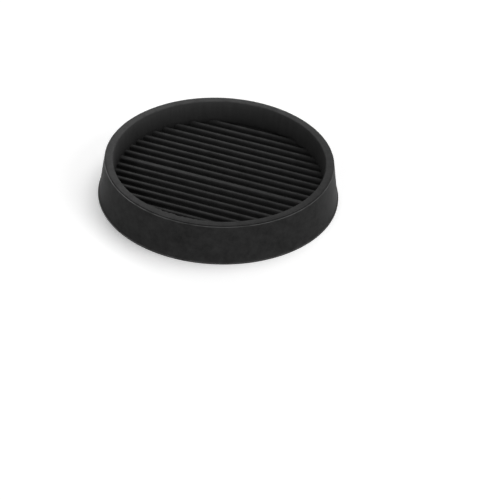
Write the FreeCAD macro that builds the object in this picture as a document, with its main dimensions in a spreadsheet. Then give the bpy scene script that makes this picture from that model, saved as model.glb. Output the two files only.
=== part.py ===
import FreeCAD, Part
import os
import Sketcher

# A rubber castor cup: the round tray that a furniture foot or castor stands in.
# It is moulded in one piece. A thick floor carries parallel ribs inside and a
# shallow tread of matching bars underneath, and a wall that flares towards the
# base runs round it. Z is the cup's axis, the ribs run along X, and the cup
# stands on the plane Z = 0.

# Driving dimensions in millimetres: alias, value, what it measures.
SIZES = [
    ("base_diameter", "76.2", "across the lip round the foot of the wall"),
    ("base_lip_width", "0.3", "how far that lip stands out from the wall"),
    ("base_lip_height", "0.5", "thickness of that lip"),
    ("cup_height", "13", "from the underside to the top of the rim"),
    ("rim_diameter", "72.4", "across the outer edge of the rim"),
    ("rim_step_width", "0.4", "narrow ledge outside the flat of the rim"),
    ("rim_step_height", "0.3", "drop from the flat of the rim to that ledge"),
    ("rim_width", "2.3", "flat of the rim, from the ledge to the mouth"),
    ("mouth_round", "0.3", "rounding of the rim's inner edge"),
    ("wall_draft", "0.5", "how far the inside of the wall leans in from mouth to floor"),
    ("floor_thickness", "4.6", "from the underside to the floor between the ribs"),
    ("floor_bevel", "0.5", "slant that eases the corner between the floor and the wall"),
    ("rib_pitch", "3.5", "from one rib to the next, and from bar to bar"),
    ("rib_width", "1.8", "across one rib"),
    ("rib_height", "1.5", "from the floor to the top of a rib"),
    ("rib_root", "0.5", "how far the ribs and the floor run into the wall"),
    ("rib_round", "0.45", "rounding along the top edges of a rib"),
    ("tread_bar_width", "1.8", "across one bar of the tread"),
    ("tread_depth", "0.25", "depth of the grooves between the bars"),
]

# The mouth lies inside the ledge and the flat of the rim.
MOUTH_RADIUS = "(Sizes.rim_diameter / 2 - Sizes.rim_step_width - Sizes.rim_width)"
# The floor is as much smaller than the mouth as the wall leans in. The ribs above
# it and the bars below it end on this one circle.
FLOOR_RADIUS = "(" + MOUTH_RADIUS + " - Sizes.wall_draft)"
# Ribs come in pairs about the middle, as many as the floor has room for.
RIB_COUNT = "(2 * floor(" + FLOOR_RADIUS + " / Sizes.rib_pitch))"
# The ribbed disc reaches a little way into the wall, which closes the ends of the ribs.
CORE_RADIUS = "(" + FLOOR_RADIUS + " + Sizes.rib_root)"


def make_sheet(doc):
    """Writes the driving dimensions to a spreadsheet with one alias a row."""
    sheet = doc.addObject("Spreadsheet::Sheet", "Sizes")
    for row, (alias, value, meaning) in enumerate(SIZES, start=1):
        sheet.set("A%d" % row, meaning)
        sheet.set("B%d" % row, value)
        sheet.setAlias("B%d" % row, alias)
    doc.recompute()
    return sheet


def origin_feature(body, role):
    """Finds one of the body's own origin planes or axes."""
    for feature in body.Origin.OriginFeatures:
        if feature.Role == role:
            return feature
    raise ValueError("no origin feature " + role)


def new_sketch(body, name, plane):
    """Starts a sketch on one of the body's origin planes."""
    sketch = body.newObject("Sketcher::SketchObject", name)
    sketch.AttachmentSupport = (origin_feature(body, plane), [""])
    sketch.MapMode = "FlatFace"
    return sketch


def hold(sketch, constraint, name, expression):
    """Adds a named dimension to a sketch and binds it to the sheet."""
    index = sketch.addConstraint(constraint)
    sketch.renameConstraint(index, name)
    sketch.setExpression("Constraints." + name, expression)


def draw_outline(sketch, corners):
    """Draws a closed outline through named corners, each with two expressions."""
    count = len(corners)
    places = []
    for name, across, up in corners:
        place = FreeCAD.Vector(sketch.evalExpression(across), sketch.evalExpression(up), 0)
        places.append(place)
    for i in range(count):
        sketch.addGeometry(Part.LineSegment(places[i], places[(i + 1) % count]))
    for i in range(count):
        sketch.addConstraint(Sketcher.Constraint("Coincident", i, 2, (i + 1) % count, 1))
    for i, (name, across, up) in enumerate(corners):
        sideways = Sketcher.Constraint("DistanceX", -1, 1, i, 1, places[i].x)
        hold(sketch, sideways, name + "_across", across)
        upwards = Sketcher.Constraint("DistanceY", -1, 1, i, 1, places[i].y)
        hold(sketch, upwards, name + "_up", up)


def round_corner(sketch, corners, name, radius):
    """Rounds one named corner of an outline, with the radius bound to the sheet."""
    line = [corner[0] for corner in corners].index(name)
    size = sketch.evalExpression(radius)
    sketch.fillet(line, 1, size, True, True)
    # The arc is added last but one, before the point that keeps the sharp corner.
    arc = sketch.GeometryCount - 2
    hold(sketch, Sketcher.Constraint("Radius", arc, size), name + "_round", radius)


def pad_floor(body):
    """Pads the plain disc of the floor."""
    sketch = new_sketch(body, "FloorCircle", "XY_Plane")
    radius = sketch.evalExpression(CORE_RADIUS)
    centre = FreeCAD.Vector(0, 0, 0)
    sketch.addGeometry(Part.Circle(centre, FreeCAD.Vector(0, 0, 1), radius))
    sketch.addConstraint(Sketcher.Constraint("Coincident", 0, 3, -1, 1))
    hold(sketch, Sketcher.Constraint("Radius", 0, radius), "core_radius", CORE_RADIUS)
    pad = body.newObject("PartDesign::Pad", "FloorDisc")
    pad.Profile = sketch
    pad.setExpression("Length", "Sizes.floor_thickness")
    return pad


def repeat_across(body, feature, name, occurrences):
    """Repeats a bar or groove along Y at the pitch of the ribs."""
    pattern = body.newObject("PartDesign::LinearPattern", name)
    pattern.Originals = [feature]
    pattern.Direction = (origin_feature(body, "Y_Axis"), [""])
    pattern.Mode = "Spacing"
    pattern.setExpression("Offset", "Sizes.rib_pitch")
    pattern.setExpression("Occurrences", occurrences)
    body.Tip = pattern
    return pattern


def cut_tread(body):
    """Cuts the grooves that leave the bars of the tread on the underside."""
    grooves = RIB_COUNT + " - 1"
    middle = "-(" + RIB_COUNT + " - 2) / 2 * Sizes.rib_pitch"
    half = "(Sizes.rib_pitch - Sizes.tread_bar_width) / 2"
    corners = [
        ("near_bottom", middle + " - " + half, "-Sizes.tread_depth"),
        ("far_bottom", middle + " + " + half, "-Sizes.tread_depth"),
        ("far_top", middle + " + " + half, "Sizes.tread_depth"),
        ("near_top", middle + " - " + half, "Sizes.tread_depth"),
    ]
    sketch = new_sketch(body, "GrooveSection", "YZ_Plane")
    draw_outline(sketch, corners)
    groove = body.newObject("PartDesign::Pocket", "TreadGroove")
    groove.Profile = sketch
    groove.SideType = "Symmetric"
    groove.setExpression("Length", "Sizes.base_diameter")
    return repeat_across(body, groove, "TreadGrooves", grooves)


def add_ribs(body):
    """Lays the round-edged ribs across the floor."""
    middle = "-(" + RIB_COUNT + " - 1) / 2 * Sizes.rib_pitch"
    foot = "Sizes.floor_thickness / 2"
    top = "Sizes.floor_thickness + Sizes.rib_height"
    corners = [
        ("near_foot", middle + " - Sizes.rib_width / 2", foot),
        ("far_foot", middle + " + Sizes.rib_width / 2", foot),
        ("far_top", middle + " + Sizes.rib_width / 2", top),
        ("near_top", middle + " - Sizes.rib_width / 2", top),
    ]
    sketch = new_sketch(body, "RibSection", "YZ_Plane")
    draw_outline(sketch, corners)
    round_corner(sketch, corners, "far_top", "Sizes.rib_round")
    round_corner(sketch, corners, "near_top", "Sizes.rib_round")
    rib = body.newObject("PartDesign::Pad", "Rib")
    rib.Profile = sketch
    rib.SideType = "Symmetric"
    rib.setExpression("Length", "Sizes.base_diameter")
    return repeat_across(body, rib, "Ribs", RIB_COUNT)


def trim_ribs(body):
    """Cuts the ribs off round the disc, inside the thickness of the wall to come."""
    corners = [
        ("inner_bottom", CORE_RADIUS, "-Sizes.cup_height"),
        ("outer_bottom", "Sizes.base_diameter", "-Sizes.cup_height"),
        ("outer_top", "Sizes.base_diameter", "2 * Sizes.cup_height"),
        ("inner_top", CORE_RADIUS, "2 * Sizes.cup_height"),
    ]
    sketch = new_sketch(body, "TrimSection", "XZ_Plane")
    draw_outline(sketch, corners)
    trim = body.newObject("PartDesign::Groove", "RibTrim")
    trim.Profile = sketch
    trim.ReferenceAxis = (origin_feature(body, "Z_Axis"), [""])
    trim.Angle = 360
    return trim


def turn_wall(body):
    """Turns the flared wall with its rim, its lip and the border of the underside."""
    corners = [
        ("tread_edge", FLOOR_RADIUS, "0"),
        ("base_edge", "Sizes.base_diameter / 2", "0"),
        ("lip_edge", "Sizes.base_diameter / 2", "Sizes.base_lip_height"),
        ("wall_foot", "Sizes.base_diameter / 2 - Sizes.base_lip_width", "Sizes.base_lip_height"),
        ("ledge_edge", "Sizes.rim_diameter / 2", "Sizes.cup_height - Sizes.rim_step_height"),
        ("ledge_back", "Sizes.rim_diameter / 2 - Sizes.rim_step_width",
         "Sizes.cup_height - Sizes.rim_step_height"),
        ("rim_edge", "Sizes.rim_diameter / 2 - Sizes.rim_step_width", "Sizes.cup_height"),
        ("mouth", MOUTH_RADIUS, "Sizes.cup_height"),
        ("bevel_top", FLOOR_RADIUS, "Sizes.floor_thickness + Sizes.floor_bevel"),
        ("bevel_root", FLOOR_RADIUS + " - 2 * Sizes.floor_bevel",
         "Sizes.floor_thickness - Sizes.floor_bevel"),
        ("inside_floor", FLOOR_RADIUS, "Sizes.floor_thickness / 2"),
    ]
    sketch = new_sketch(body, "WallSection", "XZ_Plane")
    draw_outline(sketch, corners)
    round_corner(sketch, corners, "mouth", "Sizes.mouth_round")
    wall = body.newObject("PartDesign::Revolution", "Wall")
    wall.Profile = sketch
    wall.ReferenceAxis = (origin_feature(body, "Z_Axis"), [""])
    wall.Angle = 360
    return wall


def make_cup(doc):
    """Builds the cup, checking that each step adds or removes material as it should."""
    body = doc.addObject("PartDesign::Body", "CastorCup")
    body.Label = "castor_cup"
    body.Placement = FreeCAD.Placement()
    steps = [(pad_floor, 1), (cut_tread, -1), (add_ribs, 1), (trim_ribs, -1), (turn_wall, 1)]
    volume = 0.0
    for step, sign in steps:
        feature = step(body)
        body.Tip = feature
        doc.recompute()
        change = feature.Shape.Volume - volume
        print("%-10s %+10.1f mm3" % (step.__name__, change))
        if change * sign <= 0:
            raise RuntimeError(step.__name__ + " changed nothing")
        volume = feature.Shape.Volume
    return body


def check(doc, body):
    """Stops the build where a feature failed or the cup isn't one valid solid."""
    for item in doc.Objects:
        if "Invalid" in item.State or "Error" in item.State:
            raise RuntimeError(item.Name + " failed")
    shape = body.Shape
    if shape.isNull() or not shape.isValid() or len(shape.Solids) != 1:
        raise RuntimeError("castor_cup isn't one valid solid")


def main():
    doc = FreeCAD.newDocument("CastorCup")
    make_sheet(doc)
    cup = make_cup(doc)
    check(doc, cup)
    os.makedirs("parts", exist_ok=True)
    cup.Shape.exportStep("parts/" + cup.Label + ".step")
    box = cup.Shape.BoundBox
    print("castor_cup %.2f x %.2f x %.2f mm" % (box.XLength, box.YLength, box.ZLength))


main()
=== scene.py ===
"""Looks of a moulded rubber castor cup: its mesh, finish, floor, light and camera."""

import logging
import math
from collections.abc import Callable
from dataclasses import dataclass, field
from enum import Enum
from functools import partial

import bmesh
import bpy
from mathutils import Matrix, Vector, noise


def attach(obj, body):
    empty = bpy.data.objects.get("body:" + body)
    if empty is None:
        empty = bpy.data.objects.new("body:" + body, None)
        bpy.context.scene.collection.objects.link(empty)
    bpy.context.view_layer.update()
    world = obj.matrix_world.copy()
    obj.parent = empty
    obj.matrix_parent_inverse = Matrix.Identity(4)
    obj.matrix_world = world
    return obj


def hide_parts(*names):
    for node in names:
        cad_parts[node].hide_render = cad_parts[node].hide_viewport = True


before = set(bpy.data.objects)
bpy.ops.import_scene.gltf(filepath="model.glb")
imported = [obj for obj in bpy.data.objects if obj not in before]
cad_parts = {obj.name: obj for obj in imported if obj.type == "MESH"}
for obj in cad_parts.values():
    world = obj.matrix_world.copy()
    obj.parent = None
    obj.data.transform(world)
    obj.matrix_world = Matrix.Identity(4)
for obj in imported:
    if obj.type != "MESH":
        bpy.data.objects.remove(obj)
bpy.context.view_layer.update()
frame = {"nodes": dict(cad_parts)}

MM = 0.001
WHITE = "#ffffff"
LOG = logging.getLogger("castor_cup")

# Points of a section in order, as distance out or across and height, in mm.
Section = list[tuple[float, float]]


class Edge(Enum):
    """How the mould left a corner of the cup's section; one kind only marks a band for the painted
    edge highlight.
    """

    CLEAN = "clean"
    FLASH = "flash"
    NICKED = "nicked"
    CRUMBED = "crumbed"
    # Marks only a band of the lip for the painted edge highlight; nothing is moved there.
    LIT_BAND = "edge_lit"


class Relief(Enum):
    """Which side of the floor a patch of bars belongs to."""

    RIBS = "ribs"
    TREAD = "tread"


@dataclass(frozen=True)
class Corner:
    """One corner of a section.

    Attributes:
        out: Distance from the cup's axis, or across the ribs, in mm.
        up: Height in mm.
        reach: How far its rounding reaches along both sides, in mm.
        edge: How the mould left it.
    """

    out: float
    up: float
    reach: float = 0.0
    edge: Edge = Edge.CLEAN


def linear(colour: str) -> tuple[float, float, float, float]:
    """Turns an sRGB hex colour into linear values.

    Args:
        colour: Six hex digits after a hash sign.

    Returns:
        Linear red, green, blue and an alpha of 1.
    """
    parts = [int(colour[i:i + 2], 16) / 255 for i in (1, 3, 5)]
    flat = [p / 12.92 if p <= 0.04045 else ((p + 0.055) / 1.055) ** 2.4 for p in parts]
    return flat[0], flat[1], flat[2], 1.0


def add_node(tree: bpy.types.NodeTree, kind: str, settings: dict[str, object],
             inputs: dict[str | int, object]) -> bpy.types.Node:
    """Adds one node with its settings, values and links.

    Args:
        tree: Tree that gets the node.
        kind: The node's type name.
        settings: Properties of the node.
        inputs: Value or source socket of each input, by name or number.

    Returns:
        The new node.
    """
    node = tree.nodes.new(kind)
    for name, value in settings.items():
        setattr(node, name, value)
    for name, value in inputs.items():
        if isinstance(value, bpy.types.NodeSocket):
            tree.links.new(value, node.inputs[name])
        else:
            node.inputs[name].default_value = value
    return node


def direction(azimuth: float, elevation: float) -> Vector:
    """Finds the way from the cup to a place round it.

    Args:
        azimuth: Degrees round the cup from the -Y side towards +X.
        elevation: Degrees above the floor.

    Returns:
        The way there, of length 1.
    """
    turn, tilt = math.radians(azimuth), math.radians(elevation)
    return Vector((math.sin(turn) * math.cos(tilt), -math.cos(turn) * math.cos(tilt),
                   math.sin(tilt)))


def seen_directly(tree: bpy.types.NodeTree) -> bpy.types.NodeSocket:
    """Tells the rays that show a surface from those that only bring its light.

    Args:
        tree: Tree that gets the nodes.

    Returns:
        A socket that is 1 for the camera, in mirrors and through glass, and else 0.
    """
    ray = add_node(tree, "ShaderNodeLightPath", {}, {}).outputs
    mirrored = add_node(tree, "ShaderNodeMath", {"operation": "MAXIMUM"}, {
        0: ray["Is Glossy Ray"], 1: ray["Is Transmission Ray"]})
    seen = add_node(tree, "ShaderNodeMath", {"operation": "MAXIMUM"}, {
        0: ray["Is Camera Ray"], 1: mirrored.outputs["Value"]})
    return seen.outputs["Value"]


def rounded_path(corners: list[Corner], steps: int, longest: float = math.inf) -> Section:
    """Rounds the corners of an open section and divides its long runs.

    Args:
        corners: The section's corners in order.
        steps: Facets of each rounding.
        longest: Longest run left undivided, in mm.

    Returns:
        The section's points in order.
    """
    wire = bmesh.new()
    points = [wire.verts.new((corner.out, 0, corner.up)) for corner in corners]
    for first, second in zip(points, points[1:]):
        wire.edges.new((first, second))
    for point, corner in zip(points, corners):
        if corner.reach > 0:
            bmesh.ops.bevel(wire, geom=[point], offset=corner.reach, offset_type="OFFSET",
                            affect="VERTICES", segments=steps, profile=0.5, material=-1)
    for run in [edge for edge in wire.edges if edge.calc_length() > longest]:
        cuts = math.ceil(run.calc_length() / longest) - 1
        bmesh.ops.subdivide_edges(wire, edges=[run], cuts=cuts)
    origin = Vector((corners[0].out, 0, corners[0].up))
    ends = [point for point in wire.verts if len(point.link_edges) == 1]
    # Walk along the wire from the first corner to the last.
    path = [min(ends, key=lambda end: (end.co - origin).length)]
    before = None
    while path[-1] is not before:
        before = path[-1]
        for edge in before.link_edges:
            other = edge.other_vert(before)
            if len(path) < 2 or other is not path[-2]:
                path.append(other)
                break
    places = [(point.co.x, point.co.z) for point in path]
    wire.free()
    return places


@dataclass(frozen=True)
class Ripple:
    """Smooth unevenness.

    Attributes:
        depth: How far it goes to either side, about.
        size: Width of one swell in mm.
        salt: Number that sets one kind of unevenness apart from another.
        skew: How much further the salt reaches across Y.
    """

    depth: float
    size: float
    salt: float
    skew: float = 1.7

    def at(self, place: Vector) -> float:
        """Gives the unevenness at a point.

        Args:
            place: The point, in metres.

        Returns:
            The unevenness there, in the depth's unit.
        """
        apart = Vector((self.salt, self.salt * self.skew, -self.salt))
        return self.depth * noise.noise(place / (self.size * MM) + apart)


@dataclass(frozen=True)
class BarRow:
    """Section of a row of parallel bars, across Y, all in mm.

    Attributes:
        count: Number of bars.
        pitch: From one bar to the next.
        width: Across one bar at half its height.
        height: From the ground between the bars to their tops.
        crown: Reach of the rounding along the top edges.
        foot: Reach of the rounding into the ground.
        draft: How much further out the foot of a bar lies than its top, each side.
        aside: How far the whole row lies towards +Y.
        seam: Number of the bar where the mould's two runs of grooves meet.
        seam_extra: How much wider that bar is, towards +Y.
        far_pitch: From one bar to the next beyond the seam.
        steps: Facets of each rounding.
    """

    count: int
    pitch: float
    width: float
    height: float
    crown: float
    foot: float
    draft: float
    aside: float = 0.0
    seam: int = 0
    seam_extra: float = 0.0
    far_pitch: float = 0.0
    steps: int = 3

    def middle(self, number: int) -> float:
        """Finds where a bar lies across the row.

        Args:
            number: The bar's number, from -Y.

        Returns:
            The place of its middle along Y.
        """
        first = self.aside - (self.count - 1) / 2 * self.pitch
        beyond = number - self.seam
        if self.seam_extra and beyond > 0:
            return first + self.seam * self.pitch + self.seam_extra + beyond * self.far_pitch
        return first + number * self.pitch

    def section(self) -> Section:
        """Draws the row from -Y to +Y.

        Returns:
            Points across the row and their heights over the ground.
        """
        corners = [Corner(self.middle(0) - self.pitch, 0)]
        lean = self.draft / 2
        for number in range(self.count):
            wider = self.seam_extra if number == self.seam else 0.0
            near = self.middle(number) - self.width / 2
            far = self.middle(number) + self.width / 2 + wider
            corners.append(Corner(near - lean, 0, self.foot))
            corners.append(Corner(near + lean, self.height, self.crown))
            corners.append(Corner(far - lean, self.height, self.crown))
            corners.append(Corner(far + lean, 0, self.foot))
        corners.append(Corner(self.middle(self.count - 1) + self.pitch, 0))
        return rounded_path(corners, self.steps)


def height_in(section: Section, across: float) -> float:
    """Reads a section's height at one place across it.

    Args:
        section: The section.
        across: The place in mm.

    Returns:
        The height there.
    """
    for (left, low), (right, high) in zip(section, section[1:]):
        if left <= across <= right:
            share = (across - left) / (right - left) if right > left else 0.0
            return low + share * (high - low)
    return section[0][1]


@dataclass(frozen=True)
class BlackRubber:
    """Black natural rubber, compression moulded, as it leaves a worn steel mould.

    Attributes:
        body: Colour of the clean rubber.
        bloom: Colour where a grey film has come out of it.
        chalk_and_light: Colour of the dry film where it is thickest; the same grey serves as
            painted light and shade.
        lit_edge: Colour of the painted highlight on the mould's edges.
        roughness: Least and greatest roughness.
        gloss: Specular level of the skin.
        ior: Refractive index of rubber.
        cloud_mm: Width of the cloudy patches of the film.
        cloud_detail: Finer octaves of the clouds.
        cloud_break: How strongly those octaves break the clouds up.
        cloud_range: Noise that counts as clean and as fully bloomed.
        patch_range: Noise that counts as thin and as thick dry film.
        patch_least: Share of the dry film that is left where it is thin.
        mark_mm: Width of the release marks inside.
        mark_draw: Their width against their length.
        mark_detail: Finer octaves of the marks.
        mark_range: Noise between which the marks fade.
        mark_film: Share of the dry film in a mark and beside it.
        grain_mm: Width of the grain, drawn coarser than it is so that it shows.
        grain_detail: Finer octaves of the grain.
        grain_break: How strong those octaves are.
        grain_strength: Share of the grain's depth that is used.
        grain_depth_mm: Depth of the grain.
    """

    body: str = "#1e1e1e"
    bloom: str = "#272727"
    chalk_and_light: str = "#464646"
    lit_edge: str = "#6e6e6e"
    roughness: tuple[float, float] = (0.42, 0.58)
    gloss: float = 0.02
    ior: float = 1.52
    cloud_mm: float = 3.5
    cloud_detail: float = 6.0
    cloud_break: float = 0.72
    cloud_range: tuple[float, float] = (0.25, 0.75)
    patch_range: tuple[float, float] = (0.28, 0.72)
    patch_least: float = 0.35
    mark_mm: float = 1.1
    mark_draw: float = 0.07
    mark_detail: float = 2.0
    mark_range: tuple[float, float] = (0.3, 0.7)
    mark_film: tuple[float, float] = (0.78, 0.98)
    grain_mm: float = 0.5
    grain_detail: float = 3.0
    grain_break: float = 0.7
    grain_strength: float = 0.35
    grain_depth_mm: float = 0.06

    def make(self, name: str) -> bpy.types.Material:
        """Makes the node material.

        Args:
            name: The material's name.

        Returns:
            The material.
        """
        material = bpy.data.materials.new(name)
        material.use_nodes = True
        tree = material.node_tree
        tree.nodes.clear()
        place = add_node(tree, "ShaderNodeTexCoord", {}, {}).outputs["Object"]
        # The film lies in soft clouds, and a finer mottle breaks them up.
        clouds = add_node(tree, "ShaderNodeTexNoise", {}, {
            "Vector": place, "Scale": 1 / (self.cloud_mm * MM), "Detail": self.cloud_detail,
            "Roughness": self.cloud_break}).outputs["Fac"]
        cloudy = add_node(tree, "ShaderNodeMapRange", {"interpolation_type": "SMOOTHSTEP"}, {
            "Value": clouds, "From Min": self.cloud_range[0],
            "From Max": self.cloud_range[1]}).outputs["Result"]
        dullness = add_node(tree, "ShaderNodeMapRange", {}, {
            "Value": cloudy, "To Min": self.roughness[0], "To Max": self.roughness[1]})
        film_and_light_share = self.film_and_light_pattern(tree, place, clouds)
        shader = add_node(tree, "ShaderNodeBsdfPrincipled", {}, {
            "Base Color": self.colour(tree, cloudy, film_and_light_share), "Roughness": dullness.outputs["Result"],
            "Normal": self.grain(tree, place), "IOR": self.ior, "Specular IOR Level": self.gloss})
        add_node(tree, "ShaderNodeOutputMaterial", {}, {"Surface": shader.outputs["BSDF"]})
        return material

    def film_and_light_pattern(self, tree: bpy.types.NodeTree, place: bpy.types.NodeSocket,
                 clouds: bpy.types.NodeSocket) -> bpy.types.NodeSocket:
        """Spreads the dry film with the painted light and shade that the mesh carries, streaky on
        the inner wall and patchy elsewhere.

        Args:
            tree: Tree that gets the nodes.
            place: Where a point lies on the cup.
            clouds: Noise of the clouds there.

        Returns:
            How much light grey there is, from 0 to 1: dry film, painted light and painted shade.
        """
        # Release marks run up and down the inner wall: the pattern is drawn out along Z.
        drawn_out = add_node(tree, "ShaderNodeMapping", {}, {
            "Vector": place, "Scale": (1.0, 1.0, self.mark_draw)})
        marks = add_node(tree, "ShaderNodeTexNoise", {}, {
            "Vector": drawn_out.outputs["Vector"], "Scale": 1 / (self.mark_mm * MM),
            "Detail": self.mark_detail})
        streaky = add_node(tree, "ShaderNodeMapRange", {}, {
            "Value": marks.outputs["Fac"],
            "From Min": self.mark_range[0], "From Max": self.mark_range[1],
            "To Min": self.mark_film[0], "To Max": self.mark_film[1]})
        patchy = add_node(tree, "ShaderNodeMapRange", {}, {
            "Value": clouds, "To Min": self.patch_least,
            "From Min": self.patch_range[0], "From Max": self.patch_range[1]})
        inner = add_node(tree, "ShaderNodeAttribute", {"attribute_name": "inside"}, {})
        pattern = add_node(tree, "ShaderNodeMix", {"data_type": "FLOAT"}, {
            "Factor": inner.outputs["Fac"], "A": patchy.outputs["Result"],
            "B": streaky.outputs["Result"]})
        # The mesh says how much film, painted light and painted shade each place has, and the
        # pattern breaks it up.
        film_and_light = add_node(tree, "ShaderNodeAttribute", {"attribute_name": "film_and_light"}, {})
        film_and_light_share = add_node(tree, "ShaderNodeMath", {"operation": "MULTIPLY", "use_clamp": True}, {
            0: pattern.outputs["Result"], 1: film_and_light.outputs["Fac"]})
        return film_and_light_share.outputs["Value"]

    def colour(self, tree: bpy.types.NodeTree, cloudy: bpy.types.NodeSocket,
               film_and_light_share: bpy.types.NodeSocket) -> bpy.types.NodeSocket:
        """Greys the rubber by its bloom, its dry film with painted light and shade, and the
        painted highlight on its edges.

        Args:
            tree: Tree that gets the nodes.
            cloudy: How bloomed a point is.
            film_and_light_share: How much light grey it has: dry film, painted light and painted
                shade.

        Returns:
            The colour there.
        """
        clean = add_node(tree, "ShaderNodeMix", {"data_type": "RGBA"}, {
            "Factor": cloudy, "A": linear(self.body), "B": linear(self.bloom)})
        # Painted light and shade: besides the dry film, this grey lights the rib tops and one side
        # of the rim and shades the inner wall low down.
        skin = add_node(tree, "ShaderNodeMix", {"data_type": "RGBA"}, {
            "Factor": film_and_light_share, "A": clean.outputs["Result"], "B": linear(self.chalk_and_light)})
        # Painted highlight: edges that the mesh marks are mixed towards a light grey.
        edge = add_node(tree, "ShaderNodeAttribute", {"attribute_name": "lit_edge"}, {})
        whole = add_node(tree, "ShaderNodeMix", {"data_type": "RGBA"}, {
            "Factor": edge.outputs["Fac"], "A": skin.outputs["Result"], "B": linear(self.lit_edge)})
        return whole.outputs["Result"]

    def grain(self, tree: bpy.types.NodeTree,
              place: bpy.types.NodeSocket) -> bpy.types.NodeSocket:
        """Roughens the skin with a fine grain, which keeps it from looking polished.

        Args:
            tree: Tree that gets the nodes.
            place: Where a point lies on the cup.

        Returns:
            The way that the skin faces there.
        """
        speckle = add_node(tree, "ShaderNodeTexNoise", {}, {
            "Vector": place, "Scale": 1 / (self.grain_mm * MM), "Detail": self.grain_detail,
            "Roughness": self.grain_break})
        bumps = add_node(tree, "ShaderNodeBump", {}, {
            "Height": speckle.outputs["Fac"], "Strength": self.grain_strength,
            "Distance": self.grain_depth_mm * MM})
        return bumps.outputs["Normal"]


@dataclass(frozen=True)
class SeamlessPaper:
    """White photographic paper that the cup stands on: matte and even.

    Attributes:
        tone: Colour of the paper as it is seen.
        returned: Colour of the light that it throws back at the cup.
        glow: What is added to it where it is seen, so that it clears to white.
        roughness: Roughness of the sheet.
    """

    tone: str = "#fdfdfd"
    returned: str = "#5f5f5f"
    glow: float = 0.2
    roughness: float = 0.9

    def make(self, name: str) -> bpy.types.Material:
        """Makes the node material.

        Args:
            name: The material's name.

        Returns:
            The material.
        """
        material = bpy.data.materials.new(name)
        material.use_nodes = True
        tree = material.node_tree
        tree.nodes.clear()
        # The paper looks white, also in reflections, and throws little light back.
        seen = seen_directly(tree)
        colour = add_node(tree, "ShaderNodeMix", {"data_type": "RGBA"}, {
            "Factor": seen, "A": linear(self.returned), "B": linear(self.tone)})
        glow = add_node(tree, "ShaderNodeMath", {"operation": "MULTIPLY"}, {0: seen, 1: self.glow})
        shader = add_node(tree, "ShaderNodeBsdfPrincipled", {}, {
            "Base Color": colour.outputs["Result"], "Roughness": self.roughness,
            "Specular IOR Level": 0.0, "Emission Color": linear(WHITE),
            "Emission Strength": glow.outputs["Value"]})
        add_node(tree, "ShaderNodeOutputMaterial", {}, {"Surface": shader.outputs["BSDF"]})
        return material


@dataclass(frozen=True)
class WallSection:
    """Section of the wall: up the inside, over the rim, down the outside and underneath.

    Radii and levels are in mm, and so are the roundings.

    Attributes:
        start_radius: Radius of the inside just above the ribs.
        start_level: Height of that point.
        mouth_radius: Radius of the inside at the rim.
        mouth_round: Rounding of the mouth's edge.
        rim_radius: Radius of the rim's outer edge.
        rim_level: Height of the rim.
        rim_round: Rounding of the rim's outer edge.
        step_round: Rounding where the step below the rim meets the ledge.
        ledge_radius: Radius of the ledge that runs round below the rim.
        ledge_level: Height of the ledge.
        ledge_round: Rounding of the ledge's edge.
        lit_band_from: Radius on the ledge where its painted highlight begins.
        lit_band_to: Radius on the outside where the ledge's painted highlight ends.
        lit_band_to_level: Height of that point.
        outside_radius: Radius of the outside where it meets the lip.
        lip_level: Height of the lip round the base.
        lip_middle: Height down to which the lip carries the painted highlight.
        lip_round: Rounding of the lip's upper edge.
        base_radius: Radius of the base.
        base_round: Rounding of the base's lower edge, and of the corner above the lip.
        border_radius: Radius inside the plain border of the underside.
        steps: Facets of each rounding.
        longest: Longest run left undivided.
        edge_margin: How far past its rounding an edge's flaws and painted highlight reach.
    """

    start_radius: float = 33.1
    start_level: float = 6.75
    mouth_radius: float = 33.5
    mouth_round: float = 0.35
    rim_radius: float = 35.8
    rim_level: float = 13.0
    rim_round: float = 0.12
    step_round: float = 0.06
    ledge_radius: float = 36.2
    ledge_level: float = 12.7
    ledge_round: float = 0.1
    lit_band_from: float = 36.0
    lit_band_to: float = 36.226
    lit_band_to_level: float = 12.5
    outside_radius: float = 37.8
    lip_level: float = 0.5
    lip_middle: float = 0.25
    lip_round: float = 0.1
    base_radius: float = 38.1
    base_round: float = 0.12
    border_radius: float = 33.0
    steps: int = 3
    longest: float = 2.5
    edge_margin: float = 0.03

    def corners(self) -> list[Corner]:
        """Lists the section's corners.

        Returns:
            The corners in order.
        """
        return [
            Corner(self.start_radius, self.start_level),
            Corner(self.mouth_radius, self.rim_level, self.mouth_round, Edge.NICKED),
            Corner(self.rim_radius, self.rim_level, self.rim_round),
            Corner(self.rim_radius, self.ledge_level, self.step_round),
            Corner(self.lit_band_from, self.ledge_level),
            Corner(self.ledge_radius, self.ledge_level, self.ledge_round, Edge.FLASH),
            Corner(self.lit_band_to, self.lit_band_to_level),
            Corner(self.outside_radius, self.lip_level, self.base_round),
            Corner(self.base_radius, self.lip_level, self.lip_round, Edge.CRUMBED),
            Corner(self.base_radius, self.lip_middle, 0.0, Edge.LIT_BAND),
            Corner(self.base_radius, 0.0, self.base_round),
            Corner(self.border_radius, 0.0),
        ]

    def rings(self) -> list[tuple[float, float, Edge]]:
        """Works out the rings that the wall is drawn through.

        Returns:
            Each ring's radius and height, and how the mould left it.
        """
        corners = self.corners()
        found = []
        for out, up in rounded_path(corners, self.steps, self.longest):
            gaps = {corner: math.hypot(corner.out - out, corner.up - up) for corner in corners}
            near = min(gaps, key=gaps.get)
            close = gaps[near] < near.reach + self.edge_margin
            found.append((out, up, near.edge if close else Edge.CLEAN))
        return found


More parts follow.
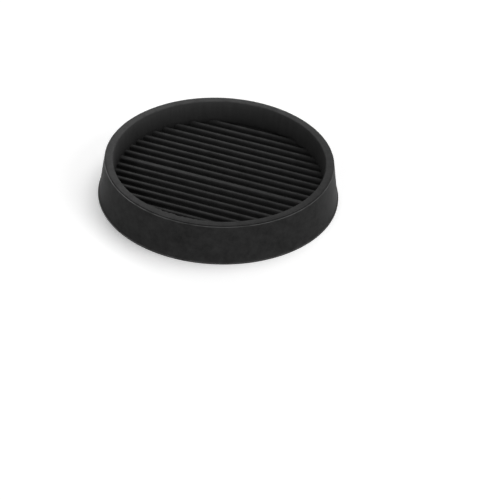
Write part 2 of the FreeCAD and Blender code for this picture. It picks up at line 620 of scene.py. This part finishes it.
@dataclass(frozen=True)
class WearAndLight:
    """How the mould, handling and age left the rubber: film and flaws, with painted light and
    shade.

    Turns are in degrees from +X, lengths in mm. An amount of 1 is the full light grey of the film
    and of the painted light.

    Attributes:
        bar_top_light: Painted light: how much light grey lies on the tops of the bars, as where
            light falls on them.
        top_light_from: Share of a bar's height from which its top has that painted light.
        wall_shade_least: Painted shade: share of the painted light left where a bar meets the
            wall.
        wall_shade_reach: How far from the wall, along a bar, that painted shade reaches.
        foot_shade: Painted shade: share of the light grey left from one ring of the wall's foot to
            the next.
        inner_film_and_shade: How much dry film lies on the inner wall at the mouth; it thins down
            to the floor as painted shade.
        outer_film: How much dry film lies on the rim and the outside.
        side_light_turn: Where the painted side light makes the grey lightest on the rim and
            inside.
        side_light_swing: How far that painted light departs from its mean there.
        lit_edge_turn: Where the painted highlight on the edges is brightest.
        lit_edge_least: How bright it is on the far side.
        lit_edge_focus: How quickly it falls off round the cup.
        lit_edge_patches: How uneven it is.
        ledge_aside: How the flash on the ledge wanders outwards.
        ledge_over: How it wanders upwards.
        flash_turn: Where flash hangs into the mouth.
        flash_span: How far it runs to either side.
        flash_reach: How far it hangs in.
        flash_mean: Share of that reach that it has on average.
        flash_ragged: How ragged it is.
        crumbs: Where crumbs of rubber cling to the lip of the base.
        crumb_span: How far a crumb runs to either side, in degrees.
        crumb_height: Height of a crumb.
        lip_chips: How the lip is chipped inwards.
        rib_swell: How the tops of the ribs rise and fall.
    """

    bar_top_light: float = 0.66
    top_light_from: float = 0.92
    wall_shade_least: float = 0.35
    wall_shade_reach: float = 3.5
    foot_shade: float = 0.5
    inner_film_and_shade: float = 0.86
    outer_film: float = 0.9
    side_light_turn: float = 145.0
    side_light_swing: float = 0.55
    lit_edge_turn: float = -145.0
    lit_edge_least: float = 0.35
    lit_edge_focus: int = 4
    lit_edge_patches: Ripple = Ripple(depth=1.2, size=3.0, salt=9.0)
    ledge_aside: Ripple = Ripple(depth=0.04, size=1.5, salt=5.0)
    ledge_over: Ripple = Ripple(depth=0.02, size=2.5, salt=6.0)
    flash_turn: float = -92.0
    flash_span: float = 24.0
    flash_reach: float = 0.5
    flash_mean: float = 0.7
    flash_ragged: Ripple = Ripple(depth=1.1, size=1.0, salt=7.0)
    crumbs: tuple[float, ...] = (-97.5, -92.3, -84.3, -81.0)
    crumb_span: float = 0.5
    crumb_height: float = 0.22
    lip_chips: Ripple = Ripple(depth=0.03, size=2.0, salt=8.0)
    rib_swell: Ripple = Ripple(depth=0.04, size=14.0, salt=3.0)

    def side_light(self, at: Vector, mouth_radius: float) -> float:
        """Works out the painted side light inside and on the rim: lighter towards one turn, darker
        away from it.

        Args:
            at: The point, in metres.
            mouth_radius: Radius of the mouth in mm, where the painted side light varies most.

        Returns:
            How much lighter or darker than the mean it paints the grey there.
        """
        share = min(1.0, math.hypot(at.x, at.y) / MM / mouth_radius)
        turn = math.atan2(at.y, at.x) - math.radians(self.side_light_turn)
        return 1.0 + self.side_light_swing * share * math.cos(turn)

    def bar_light_and_shade(self, share: float, inward: float) -> float:
        """Works out the painted light on a bar's top at a point, with painted shade towards the
        wall, before the side light.

        Args:
            share: Height of the point against the bar's.
            inward: Distance to the wall along the bar, in mm.

        Returns:
            The painted light there.
        """
        topmost = max(0.0, share - self.top_light_from) / (1 - self.top_light_from)
        # Painted shade: the tops darken towards the wall.
        whole = min(1.0, inward / self.wall_shade_reach)
        return self.bar_top_light * topmost * (self.wall_shade_least + (1 - self.wall_shade_least) * whole)

    def lit_edge_at(self, at: Vector) -> float:
        """Works out the painted highlight on an edge at a point: brightest towards one turn, and
        patchy.

        Args:
            at: The point, in metres.

        Returns:
            From 0 for none to 1 for the full highlight grey.
        """
        turn = math.atan2(at.y, at.x) - math.radians(self.lit_edge_turn)
        towards = max(0.0, math.cos(turn)) ** self.lit_edge_focus
        facing = self.lit_edge_least + (1 - self.lit_edge_least) * towards
        return min(1.0, max(0.0, facing * (1.0 + self.lit_edge_patches.at(at))))

    def flaw(self, edge: Edge, at: Vector) -> tuple[float, float]:
        """Works out how the mould's wear moves a point on an edge of the wall.

        Args:
            edge: How the mould left that edge.
            at: A point of the last ring, in metres.

        Returns:
            Shift outwards and upwards in mm.
        """
        turn = math.degrees(math.atan2(at.y, at.x))
        if edge is Edge.FLASH:
            return self.ledge_aside.at(at), self.ledge_over.at(at)
        if edge is Edge.NICKED:
            part = max(0.0, 1 - abs(turn - self.flash_turn) / self.flash_span)
            return -self.flash_reach * part * (self.flash_mean + self.flash_ragged.at(at)), 0.0
        if edge is Edge.CRUMBED:
            crumb = any(abs(turn - spot) < self.crumb_span for spot in self.crumbs)
            return -abs(self.lip_chips.at(at)), self.crumb_height if crumb else 0.0
        return 0.0, 0.0


@dataclass
class CastorCup:
    """The whole cup as one closed mesh: ribbed floor, wall, rim and barred underside.

    Lengths are in mm.

    Attributes:
        finish: What the cup is made of.
        wear_and_light: How the mould, handling and age left it, and the light and shade painted on
            it.
        wall: Section of the wall.
        ribs: The row of ribs inside.
        tread: The row of bars underneath.
        floor_level: Height of the floor between the ribs.
        plate_radius: Radius of the flat patch that carries the bars.
        foot_radius: Radius of the inside at the foot of the wall.
        foot_turns: Degrees of the rounding at that foot where a ring lies.
        foot_lift: Height of one more ring above the rounding.
        side_light_width: Width of the rim that the painted side light reaches over.
        segments: Facets round the plate before it is cut.
        slices: Cuts across the bars.
        cut_tolerance: Distance in metres within which a cut takes a point as its own.
        plate_merge: Distance within which points of the plate are merged.
        weld: Distance within which the wall's end is joined to the underside.
    """

    finish: BlackRubber = field(default_factory=BlackRubber)
    wear_and_light: WearAndLight = field(default_factory=WearAndLight)
    wall: WallSection = field(default_factory=WallSection)
    ribs: BarRow = BarRow(
        count=18, pitch=3.5, width=1.7, height=1.5, crown=0.55, foot=0.3, draft=0.3,
        aside=-0.3, seam=8, seam_extra=0.54, far_pitch=3.475)
    tread: BarRow = BarRow(
        count=18, pitch=3.5, width=1.8, height=0.25, crown=0.12, foot=0.08, draft=0.2, steps=1)
    floor_level: float = 4.6
    plate_radius: float = 32.7
    foot_radius: float = 33.0
    foot_turns: tuple[float, ...] = (30, 60, 90)
    foot_lift: float = 0.05
    side_light_width: float = 2.4
    segments: int = 480
    slices: int = 18
    cut_tolerance: float = 1e-8
    plate_merge: float = 0.01
    weld: float = 0.002

    def cut_plate(self, cup: bmesh.types.BMesh) -> None:
        """Lays a flat disc and cuts it along every line of the bars.

        Args:
            cup: Mesh that gets the disc.
        """
        bmesh.ops.create_circle(cup, cap_ends=True, segments=self.segments,
                                radius=self.plate_radius * MM)
        lines = [across for row in (self.ribs, self.tread) for across, _ in row.section()]
        within = sorted(line for line in lines if abs(line) < self.plate_radius)
        cuts = [(Vector((0, across * MM, 0)), Vector((0, 1, 0))) for across in within]
        for number in range(1, self.slices):
            along = (number / self.slices * 2 - 1) * self.plate_radius
            cuts.append((Vector((along * MM, 0, 0)), Vector((1, 0, 0))))
        for spot, way in cuts:
            everything = cup.verts[:] + cup.edges[:] + cup.faces[:]
            bmesh.ops.bisect_plane(cup, geom=everything, dist=self.cut_tolerance,
                                   plane_co=spot, plane_no=way)
        bmesh.ops.remove_doubles(cup, verts=cup.verts, dist=self.plate_merge * MM)
        for vert in cup.verts:
            if vert.is_boundary:
                vert.co = vert.co.normalized() * self.plate_radius * MM

    def film_and_side_light_at(self, at: Vector, amount: float) -> float:
        """Spreads the film and painted light: inside and on the rim a painted side light makes it
        lighter towards one turn; on the outer wall it is even.

        Args:
            at: The point, in metres.
            amount: How much film and painted light there would be without the painted side light.

        Returns:
            How much film and painted light there is.
        """
        if math.hypot(at.x, at.y) / MM > self.wall.mouth_radius + self.side_light_width:
            return amount
        return self.wear_and_light.side_light(at, self.wall.mouth_radius) * amount

    def raise_bars(self, cup: bmesh.types.BMesh, patch: list[bmesh.types.BMVert],
                   relief: Relief) -> None:
        """Gives a flat patch the relief of its bars, and their tops a painted light of lighter
        grey.

        Args:
            cup: Mesh that has the patch.
            patch: The patch's vertices.
            relief: Which side of the floor it is.
        """
        film_and_light = cup.verts.layers.float["film_and_light"]
        row = self.ribs if relief is Relief.RIBS else self.tread
        section = row.section()
        for vert in patch:
            rise = height_in(section, vert.co.y / MM)
            half = math.sqrt(max(0.0, self.plate_radius ** 2 - (vert.co.y / MM) ** 2))
            inward = max(0.0, half - abs(vert.co.x) / MM)
            # Painted light: the tops of the bars get a lighter grey, with painted shade near the
            # wall and the painted side light.
            vert[film_and_light] = self.film_and_side_light_at(vert.co, self.wear_and_light.bar_light_and_shade(rise / row.height, inward))
            if relief is Relief.RIBS:
                swell = self.wear_and_light.rib_swell.at(vert.co) * rise / row.height
                vert.co.z = (self.floor_level + rise + swell) * MM
            else:
                vert.co.z = (row.height - rise) * MM

    def build(self) -> bpy.types.Object:
        """Builds the cup's mesh.

        Returns:
            The cup's object.
        """
        cup = bmesh.new()
        for layer in ("lit_edge", "inside", "film_and_light"):
            cup.verts.layers.float.new(layer)
        self.cut_plate(cup)
        above = cup.verts[:]
        rim_of_plate = [edge for edge in cup.edges if edge.is_boundary]
        copy = bmesh.ops.duplicate(cup, geom=cup.verts[:] + cup.edges[:] + cup.faces[:])
        below = [part for part in copy["geom"] if isinstance(part, bmesh.types.BMVert)]
        self.raise_bars(cup, above, Relief.RIBS)
        self.raise_bars(cup, below, Relief.TREAD)
        loop = self.round_foot(cup, rim_of_plate)
        self.turn_wall(cup, loop)
        bmesh.ops.remove_doubles(cup, verts=[v for v in cup.verts if v.is_boundary],
                                 dist=self.weld * MM)
        bmesh.ops.recalc_face_normals(cup, faces=cup.faces)
        loose = [edge for edge in cup.edges if not edge.is_manifold]
        LOG.info("cup mesh: %d faces, %d open edges", len(cup.faces), len(loose))
        for face in cup.faces:
            face.smooth = True
        mesh = bpy.data.meshes.new("castor_cup_rubber")
        cup.to_mesh(mesh)
        cup.free()
        body = bpy.data.objects.new("castor_cup_rubber", mesh)
        bpy.context.scene.collection.objects.link(body)
        return body

    def round_foot(self, cup: bmesh.types.BMesh,
                   loop: list[bmesh.types.BMEdge]) -> list[bmesh.types.BMEdge]:
        """Rounds the ribbed plate's edge up to the foot of the wall, darkening the grey there as
        painted shade.

        Args:
            cup: Mesh that gets the rounding.
            loop: Edges round the ribbed plate.

        Returns:
            Edges of the last ring.
        """
        film_and_light = cup.verts.layers.float["film_and_light"]
        section = self.ribs.section()
        rounding = [(turn, 0.0) for turn in self.foot_turns]
        for turn, over in rounding + [(self.foot_turns[-1], self.foot_lift)]:
            loop = self.next_ring(cup, loop, partial(self.foot_place, section, turn, over))
            # Painted shade: the light grey thins ring by ring, darkening the corner where floor
            # and wall meet.
            for vert in {v for e in loop for v in e.verts}:
                vert[film_and_light] *= self.wear_and_light.foot_shade
        return loop

    def foot_place(self, section: Section, turn: float, over: float,
                   at: Vector) -> tuple[float, float]:
        """Rounds the floor up into the wall, but not the tops of the ribs.

        Args:
            section: The section of the ribs.
            turn: Degrees of the rounding that the new ring has come up.
            over: How much higher than that it lies, in mm.
            at: A point of the last ring, in metres.

        Returns:
            The new point's distance out and height in mm.
        """
        reach = self.foot_radius - self.plate_radius
        out = self.plate_radius + reach * math.sin(math.radians(turn))
        up = reach * (1 - math.cos(math.radians(turn)))
        across = at.y / MM * self.plate_radius / math.hypot(at.x / MM, at.y / MM)
        rise = height_in(section, across)
        return out, self.floor_level + rise + up * (1 - rise / self.ribs.height) + over

    def turn_wall(self, cup: bmesh.types.BMesh, loop: list[bmesh.types.BMEdge]) -> None:
        """Draws the wall out of its foot, ring by ring, down to the underside.

        Args:
            cup: Mesh that gets the wall.
            loop: Edges round the foot of the wall.
        """
        lit_edge = cup.verts.layers.float["lit_edge"]
        inside = cup.verts.layers.float["inside"]
        film_and_light = cup.verts.layers.float["film_and_light"]
        for out, up, edge in self.wall.rings():
            loop = self.next_ring(cup, loop, partial(self.wall_place, out, up, edge))
            # Painted highlight: the flash, the crumbed lip and the band below it get a light grey,
            # brightest towards one turn.
            edge_lit = edge in (Edge.FLASH, Edge.CRUMBED, Edge.LIT_BAND)
            within = out < self.wall.mouth_radius and up > self.floor_level
            share = (up - self.floor_level) / (self.wall.rim_level - self.floor_level)
            for vert in {v for e in loop for v in e.verts}:
                vert[lit_edge] = self.wear_and_light.lit_edge_at(vert.co) if edge_lit else 0.0
                vert[inside] = float(within)
                # Painted shade: inside, the film thins from the mouth down to the floor, darker
                # low down.
                amount = self.wear_and_light.inner_film_and_shade * share if within else self.wear_and_light.outer_film
                vert[film_and_light] = self.film_and_side_light_at(vert.co, amount)
        self.next_ring(cup, loop, partial(self.border_place, self.tread.section()))

    def wall_place(self, out: float, up: float, edge: Edge, at: Vector) -> tuple[float, float]:
        """Places a point of the wall, moved by the mould's wear.

        Args:
            out: The new ring's radius in mm.
            up: Its height in mm.
            edge: How the mould left it.
            at: A point of the last ring, in metres.

        Returns:
            The new point's distance out and height in mm.
        """
        aside, over = self.wear_and_light.flaw(edge, at)
        return out + aside, up + over

    def border_place(self, section: Section, at: Vector) -> tuple[float, float]:
        """Draws the border in to the edge of the barred underside.

        Args:
            section: The section of the bars.
            at: A point of the last ring, in metres.

        Returns:
            The new point's distance out and height in mm.
        """
        shrink = self.plate_radius / self.wall.border_radius
        return self.plate_radius, self.tread.height - height_in(section, at.y / MM * shrink)

    @staticmethod
    def next_ring(cup: bmesh.types.BMesh, loop: list[bmesh.types.BMEdge],
                  where: Callable[[Vector], tuple[float, float]]) -> list[bmesh.types.BMEdge]:
        """Extrudes a ring of edges and moves the new ring.

        Args:
            cup: Mesh that gets the ring.
            loop: The last ring's edges.
            where: Gives a point's new distance out and height in mm.

        Returns:
            The new ring's edges.
        """
        grown = bmesh.ops.extrude_edge_only(cup, edges=loop)["geom"]
        fresh = {part for part in grown if isinstance(part, bmesh.types.BMVert)}
        for vert in fresh:
            out, up = where(vert.co)
            flat = Vector((vert.co.x, vert.co.y, 0)).normalized() * out * MM
            vert.co = Vector((flat.x, flat.y, up * MM))
        return [part for part in grown if isinstance(part, bmesh.types.BMEdge)
                and part.verts[0] in fresh and part.verts[1] in fresh]

    def dress(self, body: bpy.types.Object) -> None:
        """Gives the cup its rubber and joins it to the frame.

        Args:
            body: The cup's object.
        """
        body.data.materials.append(self.finish.make("moulded_black_rubber"))
        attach(body, "root")
        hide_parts("castor_cup")


@dataclass(frozen=True)
class Viewpoint:
    """Where the photograph was taken from.

    Attributes:
        azimuth: Degrees round the cup from the -Y side towards +X.
        elevation: Degrees above the floor.
        roll: Degrees that the camera's right side is raised.
        distance: From the camera to the base's centre along its axis, in mm.
        aim: Where the base's centre lies in the frame, in pixels.
        focal: Focal length in pixels of the frame.
        frame: Width and height of the frame in pixels.
        sensor: Width of the camera's sensor in mm.
        nearest: Nearest distance that the camera shows, in mm.
    """

    azimuth: float = 19.898
    elevation: float = 36.023
    roll: float = 2.621
    distance: float = 909.0
    aim: tuple[float, float] = (218.25, 193.44)
    focal: float = 2865.4
    frame: float = 500.0
    sensor: float = 36.0
    nearest: float = 20.0

    def place(self) -> bpy.types.Object:
        """Sets up the camera.

        Returns:
            The camera's object.
        """
        turn, roll = math.radians(self.azimuth), math.radians(self.roll)
        back = direction(self.azimuth, self.elevation)
        level = Vector((math.cos(turn), math.sin(turn), 0))
        right = level * math.cos(roll) + back.cross(level) * math.sin(roll)
        up = back.cross(right)
        aside = (self.aim[0] - self.frame / 2) / self.focal * self.distance
        over = (self.frame / 2 - self.aim[1]) / self.focal * self.distance
        spot = (back * self.distance - right * aside - up * over) * MM
        data = bpy.data.cameras.new("camera")
        data.sensor_width = self.sensor
        data.lens = self.focal / self.frame * self.sensor
        data.clip_start = self.nearest * MM
        camera = bpy.data.objects.new("camera", data)
        axes = Matrix((right, up, back)).transposed().to_4x4()
        camera.matrix_world = Matrix.Translation(spot) @ axes
        bpy.context.scene.collection.objects.link(camera)
        bpy.context.scene.camera = camera
        return camera


@dataclass(frozen=True)
class Lamp:
    """One soft square lamp.

    Attributes:
        name: What it is for.
        watts: Its power.
        width: Width of its panel in mm.
        azimuth: Degrees round the cup from the -Y side towards +X.
        elevation: Degrees above the floor.
        distance: From the cup in mm.
    """

    name: str
    watts: float
    width: float
    azimuth: float
    elevation: float
    distance: float = 1200.0

    def hang(self) -> bpy.types.Object:
        """Hangs the lamp so that it points at the cup.

        Returns:
            The lamp's object.
        """
        data = bpy.data.lights.new(self.name, "AREA")
        data.energy = self.watts
        data.size = self.width * MM
        way = direction(self.azimuth, self.elevation)
        lamp = bpy.data.objects.new(self.name, data)
        lamp.location = way * self.distance * MM
        lamp.rotation_euler = way.to_track_quat("Z", "Y").to_euler()
        bpy.context.scene.collection.objects.link(lamp)
        return lamp


@dataclass
class Studio:
    """White floor, soft light and the camera.

    Attributes:
        paper: What the floor is covered with.
        lamps: The lamps.
        sky: Strength of the light from all round.
        view: The photograph's viewpoint.
        floor_size: Half the floor's width in mm.
    """

    paper: SeamlessPaper = field(default_factory=SeamlessPaper)
    lamps: tuple[Lamp, ...] = (
        Lamp("back_softbox", watts=8.8, width=900.0, azimuth=155.0, elevation=67.0),
        Lamp("left_window", watts=2.5, width=500.0, azimuth=210.0, elevation=35.0),
        Lamp("right_panel", watts=4.2, width=700.0, azimuth=88.0, elevation=32.0),
        Lamp("front_panel", watts=4.6, width=700.0, azimuth=347.0, elevation=25.0),
    )
    sky: float = 0.08
    view: Viewpoint = field(default_factory=Viewpoint)
    floor_size: float = 20000.0

    def lay_floor(self) -> bpy.types.Object:
        """Lays the sheet of paper that the cup stands on.

        Returns:
            The floor's object.
        """
        sheet = bmesh.new()
        bmesh.ops.create_grid(sheet, x_segments=1, y_segments=1, size=self.floor_size * MM)
        mesh = bpy.data.meshes.new("floor")
        sheet.to_mesh(mesh)
        sheet.free()
        floor = bpy.data.objects.new("floor", mesh)
        bpy.context.scene.collection.objects.link(floor)
        floor.data.materials.append(self.paper.make("white_seamless_paper"))
        return floor

    def paint_walls(self) -> bpy.types.World:
        """Makes the walls of the studio, which look white but throw little light on the cup.

        Returns:
            The scene's new world.
        """
        world = bpy.data.worlds.new("studio")
        world.use_nodes = True
        tree = world.node_tree
        tree.nodes.clear()
        lit = add_node(tree, "ShaderNodeMath", {"operation": "MAXIMUM"}, {
            0: seen_directly(tree), 1: self.sky})
        walls = add_node(tree, "ShaderNodeBackground", {}, {
            "Color": linear(WHITE), "Strength": lit.outputs["Value"]})
        add_node(tree, "ShaderNodeOutputWorld", {}, {"Surface": walls.outputs["Background"]})
        bpy.context.scene.world = world
        return world

    def build(self) -> None:
        """Lays the floor, hangs the lamps, paints the walls and sets up the camera."""
        floor = self.lay_floor()
        LOG.info("%s laid", floor.name)
        for lamp in self.lamps:
            LOG.info("%s hung", lamp.hang().name)
        self.paint_walls()
        self.view.place()


def main() -> None:
    """Builds the cup and the studio."""
    logging.basicConfig(level=logging.INFO, format="%(name)s: %(message)s")
    bpy.context.scene.view_settings.view_transform = "Standard"
    cup = CastorCup()
    body = cup.build()
    cup.dress(body)
    LOG.info("%s: %d vertices", body.name, len(body.data.vertices))
    Studio().build()


if __name__ == "__main__":
    main()
